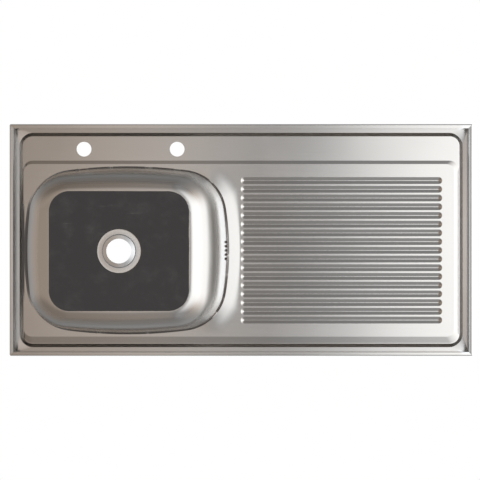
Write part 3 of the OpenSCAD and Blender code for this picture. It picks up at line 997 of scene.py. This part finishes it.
def soft_room(s):
    """White for the camera, an even fill for dull surfaces and, for the steel's reflections, a
    room with a window past the drainer's end. All levels go by direction."""
    f = Finish(bpy.data.worlds.new("studio"))
    x, y, z = f.split(f.node("ShaderNodeTexCoord", output="Generated"))
    side, front = 0 - x, 0 - y             # towards the drainer's end, and towards the front
    window = side.ramp(0.085, 0.145) * (abs(y) - side * 0.35).ramp(-0.05, 0.6, 1.0, 0.0)
    bright = side.ramp(0.12, 0.24, 0.8, 1.0) * s.window

    # The rest of the room is darker past the bowl, behind and in front
    room = side.ramp(-0.24, -0.08, 0.42, 0.6) * x.ramp(0.88, 0.99, 1.0, 1.25)
    room = room * y.ramp(0.2, 0.6, 1.0, 0.48) * y.ramp(0.8, 1.0, 1.0, 0.6)
    room = room * front.ramp(0.12, 0.4, 1.0, 0.6) * front.ramp(0.85, 1.0, 1.0, 0.65)
    # Two darker strips below the sink, which the panel and the tap ledge reflect
    room = room * (1 - abs(side - 0.025).ramp(0.0, 0.08, 0.38, 0.0))
    room = room * (1 - abs(y - 0.085).ramp(0.02, 0.06, 0.12, 0.0))
    # Two lighter patches, for the ledge behind the bowl and for the bowl's floor
    room = room * (1 + abs(side + 0.045).ramp(0.0, 0.035, 0.35, 0.0) * y.ramp(-0.06, 0.08))
    room = room * (1 + abs(side + 0.11).ramp(0.02, 0.07, 0.75, 0.0)
                   * abs(y).ramp(0.03, 0.07, 1.0, 0.0))

    seen = room * (1 - window) * s.room + window * bright
    plain, glossy = f.ray("Camera") + f.ray("Transmission"), f.ray("Glossy")
    level = (seen * glossy + s.fill * (1 - glossy)) * (1 - plain) + plain

    # The light is warm past the bowl and in the corners, and neutral elsewhere
    cool = side.ramp(-0.28, 0.12) * (1 - abs(y).ramp(0.25, 0.8, 0.0, 0.7)
                                     * side.ramp(-0.12, 0.02, 1.0, 0.0))
    cool = cool * (1 - side.ramp(0.3, 0.5) * abs(y).ramp(0.3, 0.6, 0.0, 0.6))
    cool = cool + (1 - cool) * z.ramp(0.05, 0.3)
    warm = f.blend((cool + plain + 1 - glossy).smaller(1.0), rgba(s.warm), (1, 1, 1, 1))
    sky = f.node("ShaderNodeBackground", None, {"Color": warm, "Strength": level})
    f.node("ShaderNodeOutputWorld", None, {"Surface": sky})
    return f.owner


class SINK_OT_studio(bpy.types.Operator):
    """Makes the camera below the sink, the floor it stands on and the soft light"""

    bl_idname = "sink.studio"
    bl_label = "Studio"

    def execute(self, context):
        scene, s = context.scene, context.scene.sink_studio
        view = bpy.data.cameras.new("camera")
        view.lens, view.sensor_width = s.lens, SENSOR
        view.shift_x, view.clip_end = VIEW_SHIFT, 50
        camera = put("camera", view)
        camera.location = (0, 0, -s.camera_distance)
        camera.rotation_euler = (0, math.pi, 0)
        scene.camera = camera

        bm = bmesh.new()
        bmesh.ops.create_grid(bm, x_segments=1, y_segments=1, size=FLOOR_SIZE,
                              matrix=Matrix.Translation((0, 0, BOWL_LOW.z - FLOOR_GAP)))
        mesh = bpy.data.meshes.new("floor")
        bm.to_mesh(mesh)
        bm.free()
        floor = put("floor", mesh)
        mesh.materials.append(floor_paint(s.floor))
        scene.world = soft_room(s)

        lamp = bpy.data.lights.new("large lamp above", "AREA")
        lamp.shape, lamp.size, lamp.energy = "SQUARE", LAMP_SIZE, s.power
        above = put("large lamp above", lamp)
        above.location = LAMP_PLACE
        above.rotation_euler = (0, math.radians(LAMP_TILT), 0)
        scene.view_settings.view_transform = "Standard"
        return {"FINISHED"}


# -------- the add-on


class SINK_PT_panel(bpy.types.Panel):
    """Lists the sink's pieces and their sizes"""

    bl_idname = "SINK_PT_panel"
    bl_label = "Kitchen sink"
    bl_space_type = "VIEW_3D"
    bl_region_type = "UI"
    bl_category = "Kitchen Sink"

    def draw(self, context):
        for group, _, operator in GROUPS:
            box = self.layout.box()
            sizes = getattr(context.scene, group)
            for name in sizes.bl_rna.properties.keys():
                if name not in ("rna_type", "name"):
                    box.prop(sizes, name)
            if operator:
                box.operator(operator)


GROUPS = (("sink_deck", SinkDeckSizes, "sink.deck"), ("sink_bowl", SinkBowlSizes, "sink.bowl"),
          ("sink_pad", SinkPadSizes, "sink.pad"), ("sink_finish", SinkFinish, ""),
          ("sink_studio", SinkStudio, "sink.studio"))
CLASSES = (SinkDeckSizes, SinkBowlSizes, SinkPadSizes, SinkFinish, SinkStudio, SINK_OT_deck,
           SINK_OT_bowl, SINK_OT_pad, SINK_OT_studio, SINK_PT_panel)


def register():
    for each in CLASSES:
        bpy.utils.register_class(each)
    for group, kind, _ in GROUPS:
        setattr(bpy.types.Scene, group, PointerProperty(type=kind))


def unregister():
    for group, _, _ in GROUPS:
        delattr(bpy.types.Scene, group)
    for each in reversed(CLASSES):
        bpy.utils.unregister_class(each)


def main():
    register()
    bpy.ops.sink.deck()
    bpy.ops.sink.bowl()
    bpy.ops.sink.pad()
    bpy.ops.sink.studio()


if __name__ == "__main__":
    main()
